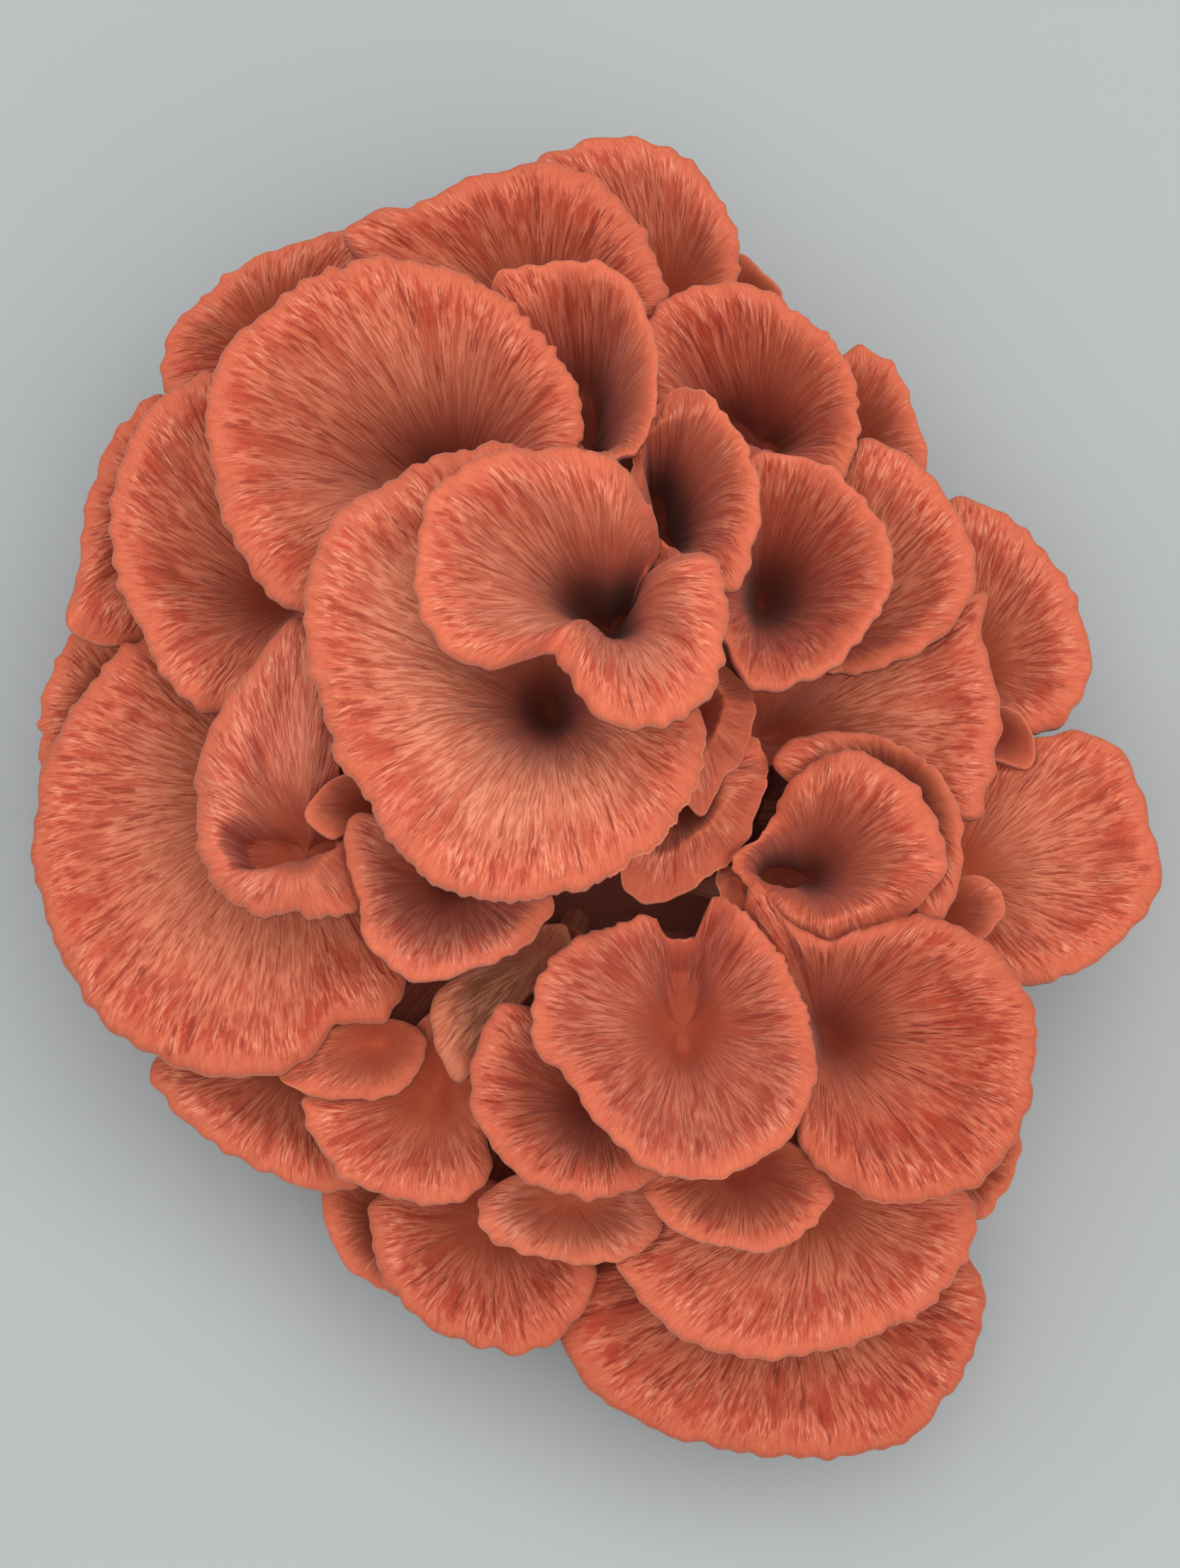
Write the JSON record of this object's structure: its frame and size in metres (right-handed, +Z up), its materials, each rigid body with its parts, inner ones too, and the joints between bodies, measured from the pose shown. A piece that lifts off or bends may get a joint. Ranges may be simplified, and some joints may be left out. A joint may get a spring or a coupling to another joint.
{
  "type": "oyster mushroom cluster",
  "caption": "Cluster of pink oyster mushrooms: overlapping funnel and fan caps with gills, on stems that spread from a flat-cut base.",
  "frame": {"origin": "centre of the flat cut face under the fused base", "axes": "+Z up, out of the cut face; +Y towards the top of the cluster as seen from above, along its longest side; +X to the right"},
  "size_m": [0.1824, 0.2137, 0.1136],
  "materials": {
    "cap_flesh": null,
    "butt_flesh": null
  },
  "bodies": {
    "root": {"butt": "butt_flesh", "crown_funnel": "cap_flesh", "crown_collar": "cap_flesh", "upper_left_fan": "cap_flesh", "upper_middle_funnel": "cap_flesh", "right_crescent": "cap_flesh", "right_deep_funnel": "cap_flesh", "upper_right_funnel": "cap_flesh", "low_centre_fan": "cap_flesh", "low_right_fan": "cap_flesh", "right_low_funnel": "cap_flesh", "right_ring": "cap_flesh", "right_pale_fan": "cap_flesh", "crown_leaf_right": "cap_flesh", "crown_leaf_low": "cap_flesh", "right_steep_fan": "cap_flesh", "left_middle_cup": "cap_flesh", "left_small_leaf": "cap_flesh", "left_lipped_funnel": "cap_flesh", "centre_bud": "cap_flesh", "left_upper_fan": "cap_flesh", "top_wide_fan": "cap_flesh", "topmost_fan": "cap_flesh", "low_left_cup": "cap_flesh", "low_stalked_fan": "cap_flesh", "left_largest_fan": "cap_flesh", "right_small_leaf": "cap_flesh", "right_leaf_tip": "cap_flesh", "right_outer_fan": "cap_flesh", "right_upper_fan": "cap_flesh", "upper_right_shelf": "cap_flesh", "top_right_tip": "cap_flesh", "upper_left_shelf": "cap_flesh", "left_edge_band": "cap_flesh", "left_outer_band": "cap_flesh", "low_left_curl": "cap_flesh", "low_left_tongue": "cap_flesh", "bottom_middle_cup": "cap_flesh", "bottom_small_cap": "cap_flesh", "bottom_right_shelf": "cap_flesh", "bottom_streaked_cap": "cap_flesh", "left_low_shelf": "cap_flesh", "bottom_left_edge": "cap_flesh", "right_low_edge": "cap_flesh", "bottom_largest_shelf": "cap_flesh", "centre_pin": "cap_flesh"}
  },
  "joints": []
}
